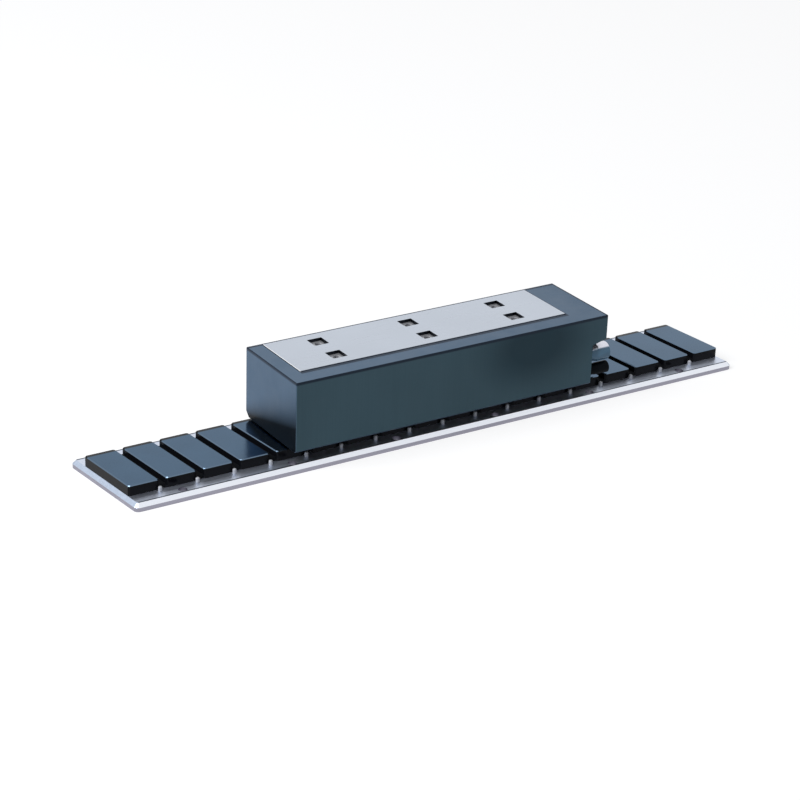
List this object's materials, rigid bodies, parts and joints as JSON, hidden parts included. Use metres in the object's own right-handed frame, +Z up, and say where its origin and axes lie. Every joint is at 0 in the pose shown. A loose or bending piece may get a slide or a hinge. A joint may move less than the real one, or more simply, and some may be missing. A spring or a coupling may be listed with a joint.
{
  "type": "linear motor",
  "caption": "Iron-core linear motor: a resin-cast coil unit with a bright mounting plate slides along a flat track of skewed block magnets on a screw-down steel plate.",
  "frame": {"origin": "centre of the underside of the magnet track", "axes": "+X along the travel, towards the cable end of the forcer; +Z up, out of the magnet faces; -Y is the side with the cable outlets"},
  "size_m": [0.2742, 0.045, 0.036],
  "materials": {
    "plated_steel": "satin nickel-plated steel",
    "pin_steel": "turned steel",
    "magnet": "epoxy-coated sintered magnet",
    "bonding_resin": "black filled epoxy",
    "resin": "semi-gloss cast epoxy resin",
    "electrical_steel": "stacked laminations",
    "liner": "glass-filled nylon",
    "winding": "enamelled copper wire",
    "tinned_copper": "tinned copper",
    "circuit_board": "glass-epoxy board",
    "sensor_bead": "glazed bead",
    "ground_plate": "ground aluminium alloy",
    "insert_steel": "zinc-plated steel",
    "power_sleeve": "moulded plastic",
    "sensor_sleeve": "moulded plastic",
    "seal_rubber": "black rubber"
  },
  "bodies": {
    "track": {"base_plate": "plated_steel", "magnet_locating_pins": "pin_steel", "magnet_01": "magnet", "magnet_02": "magnet", "magnet_03": "magnet", "magnet_04": "magnet", "magnet_05": "magnet", "magnet_06": "magnet", "magnet_07": "magnet", "magnet_08": "magnet", "magnet_09": "magnet", "magnet_10": "magnet", "magnet_11": "magnet", "magnet_12": "magnet", "magnet_13": "magnet", "magnet_14": "magnet", "magnet_15": "magnet", "magnet_16": "magnet", "magnet_17": "magnet", "magnet_18": "magnet", "magnet_gap_filler": "bonding_resin"},
    "forcer": {"resin_body": "resin", "lamination_core": "electrical_steel", "slot_liner_1": "liner", "slot_liner_2": "liner", "slot_liner_3": "liner", "slot_liner_4": "liner", "slot_liner_5": "liner", "slot_liner_6": "liner", "coil_1": "winding", "coil_2": "winding", "coil_3": "winding", "coil_4": "winding", "coil_5": "winding", "coil_6": "winding", "coil_leads": "tinned_copper", "terminal_board": "circuit_board", "thermal_sensor": "sensor_bead", "mounting_plate": "ground_plate", "threaded_inserts": "insert_steel", "power_cable_sleeve": "power_sleeve", "power_cable_seal": "seal_rubber", "sensor_cable_sleeve": "sensor_sleeve", "sensor_cable_seal": "seal_rubber"}
  },
  "joints": [
    {"name": "forcer_travel", "type": "slide", "parent": "track", "child": "forcer", "axis": [1, 0, 0], "range_m": [-0.067, 0.0625]}
  ]
}
